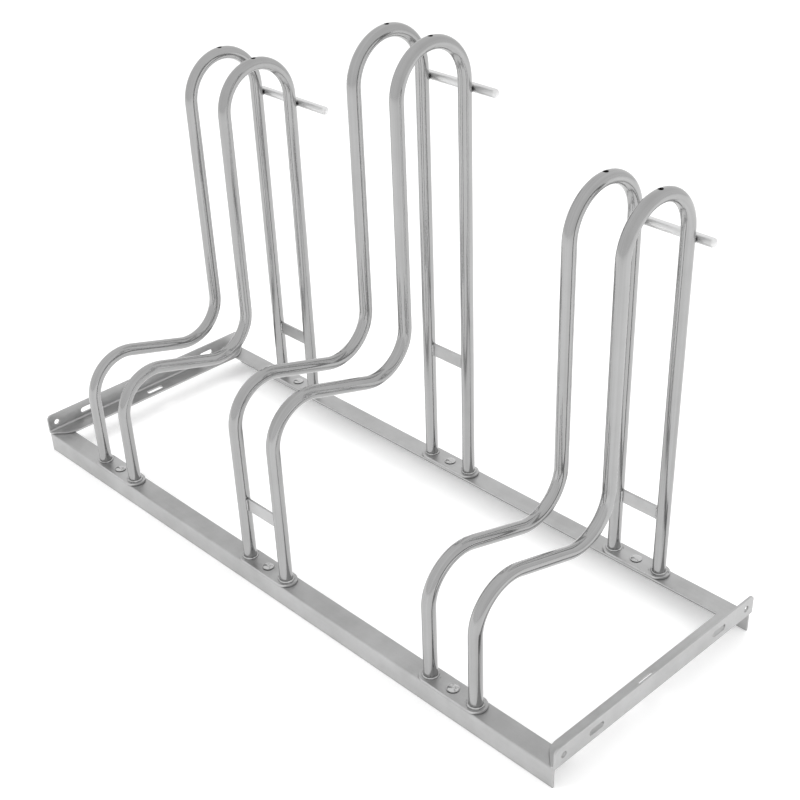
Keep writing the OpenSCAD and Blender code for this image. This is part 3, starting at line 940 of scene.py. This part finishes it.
long_rail("front", 1)
long_rail("rear", 2)
for number, name in enumerate(SIDES):
    side_rail(name, 3 + number)
for number, name in enumerate(HOLDERS):
    for m, end_name in enumerate(ENDS):
        foot_plate(name, end_name, 5 + 2 * number + m)
    for m, side_name in enumerate(SIDES):
        holder_tube(name, side_name, 11 + 2 * number + m)
    strap(name, "rear", 20 + number)
    lock_bar(name, 30 + number)
strap("middle", "front", 23)
carriage_bolts()
washers()
nuts()
foot_welds()
strap_welds()
lock_bar_welds()
corner_welds()

# Camera at the photograph's place

CAMERA_AT = Vector((1.2406, -1.0686, 1.1990))
CAMERA_YAW = math.radians(47.4016)
CAMERA_PITCH = math.radians(34.6505)
CAMERA_ROLL = math.radians(-2.5026)
FOCAL_PX = 1404.8
AXIS_PX = (400.0, 490.0)
IMAGE_PX = 800
SENSOR = 36.0


def photo_camera():
    """Camera with the photograph's place, turn, lens and framing."""
    data = bpy.data.cameras.new("camera")
    camera = bpy.data.objects.new("camera", data)
    bpy.context.collection.objects.link(camera)
    level = math.cos(CAMERA_PITCH)
    ahead = Vector((-math.sin(CAMERA_YAW) * level, math.cos(CAMERA_YAW) * level, -math.sin(CAMERA_PITCH)))
    right = Vector((math.cos(CAMERA_YAW), math.sin(CAMERA_YAW), 0))
    up = right.cross(ahead)
    c, s = math.cos(CAMERA_ROLL), math.sin(CAMERA_ROLL)
    right, up = c * right + s * up, c * up - s * right
    turn = Matrix((right, up, -ahead)).transposed().to_4x4()
    camera.matrix_world = Matrix.Translation(CAMERA_AT) @ turn
    data.sensor_width = SENSOR
    data.lens = SENSOR * FOCAL_PX / IMAGE_PX
    data.shift_x = (IMAGE_PX / 2 - AXIS_PX[0]) / IMAGE_PX
    data.shift_y = (AXIS_PX[1] - IMAGE_PX / 2) / IMAGE_PX
    data.clip_start, data.clip_end = 0.05, 60
    bpy.context.scene.camera = camera


photo_camera()

# Studio: white floor, white background and soft lamps

FLOOR_SIZE = 12.0
FLOOR_GLOW = 0.27


def shows_background(n, path):
    """1 for rays from the camera, from reflections and through glass, which all see the white background."""
    mirrored = n.maths("MAXIMUM", path.outputs["Is Camera Ray"], path.outputs["Is Glossy Ray"])
    return n.maths("MAXIMUM", mirrored, path.outputs["Is Transmission Ray"])


def floor_material():
    """Pale matt floor that keeps the object's shadow and reads as white.

    The camera, reflections and views through glass see a glow added to it; the light it throws back on the
    rack has none.
    """
    n = Nodes(bpy.data.materials.new("floor_white"))
    path = n.add("ShaderNodeLightPath")
    place = n.add("ShaderNodeTexCoord").outputs["Object"]
    tone = n.remap(n.noise(place, 3.0), 0.3, 0.7, 0.90, 0.92)
    matt = n.add("ShaderNodeBsdfPrincipled", {"Roughness": 0.9, "Specular IOR Level": 0.1})
    grey_tone = n.add("ShaderNodeCombineColor", {0: tone, 1: tone, 2: tone})
    n.tree.links.new(grey_tone.outputs[0], matt.inputs["Base Color"])
    glow = n.add("ShaderNodeEmission", {"Color": (1, 1, 1, 1), "Strength": FLOOR_GLOW})
    both = n.add("ShaderNodeAddShader")
    n.tree.links.new(matt.outputs[0], both.inputs[0])
    n.tree.links.new(glow.outputs[0], both.inputs[1])
    seen = n.add("ShaderNodeMixShader", {0: shows_background(n, path)})
    n.tree.links.new(matt.outputs[0], seen.inputs[1])
    n.tree.links.new(both.outputs[0], seen.inputs[2])
    out = n.add("ShaderNodeOutputMaterial")
    n.tree.links.new(seen.outputs[0], out.inputs[0])
    return n.owner


def level_sheet(name, xs, ys, material):
    """Flat sheet on the floor over the grid lines xs and ys."""
    x, y = np.meshgrid(xs, ys, indexing="ij")
    k = np.arange(x.size).reshape(x.shape)
    quads = np.stack([k[:-1, :-1], k[1:, :-1], k[1:, 1:], k[:-1, 1:]], -1).reshape(-1, 4)
    mesh = bpy.data.meshes.new(name)
    mesh.from_pydata(stack(x, y, 0 * x).reshape(-1, 3).tolist(), [], quads.tolist())
    mesh.materials.append(material)
    sheet = bpy.data.objects.new(name, mesh)
    bpy.context.collection.objects.link(sheet)
    return sheet


def studio_floor():
    """One white sheet under and round the rack."""
    lines = np.linspace(-FLOOR_SIZE / 2, FLOOR_SIZE / 2, 13)
    level_sheet("floor", lines, lines, floor_material())


def studio_world():
    """White background for the camera, reflections and glass, and plain light for everything else."""
    world = bpy.data.worlds.new("studio")
    bpy.context.scene.world = world
    n = Nodes(world)
    path = n.add("ShaderNodeLightPath")
    shown = n.add("ShaderNodeBackground", {"Color": (1, 1, 1, 1), "Strength": 1.0})
    fill = n.add("ShaderNodeBackground", {"Color": (1, 1, 1, 1), "Strength": 0.7})
    outer = n.add("ShaderNodeMixShader", {0: shows_background(n, path)})
    n.tree.links.new(fill.outputs[0], outer.inputs[1])
    n.tree.links.new(shown.outputs[0], outer.inputs[2])
    out = n.add("ShaderNodeOutputWorld")
    n.tree.links.new(outer.outputs[0], out.inputs[0])


def soft_lamp(name, at, size, power):
    """A square soft lamp that points at the middle of the rack."""
    data = bpy.data.lights.new(name, "AREA")
    data.size = size
    data.energy = power
    lamp = bpy.data.objects.new(name, data)
    bpy.context.collection.objects.link(lamp)
    lamp.location = at
    lamp.rotation_mode = "QUATERNION"
    lamp.rotation_quaternion = (Vector((0, 0, 0.3)) - Vector(at)).to_track_quat("-Z", "Y")
    lamp.visible_glossy = False


studio_floor()
studio_world()
soft_lamp("key_lamp", (-1.6, -2.2, 3.4), 2.0, 45)
soft_lamp("fill_lamp", (2.6, 0.6, 3.0), 2.4, 30)
soft_lamp("rim_lamp", (0.2, 2.6, 2.8), 2.0, 25)
bpy.context.scene.view_settings.view_transform = "Standard"
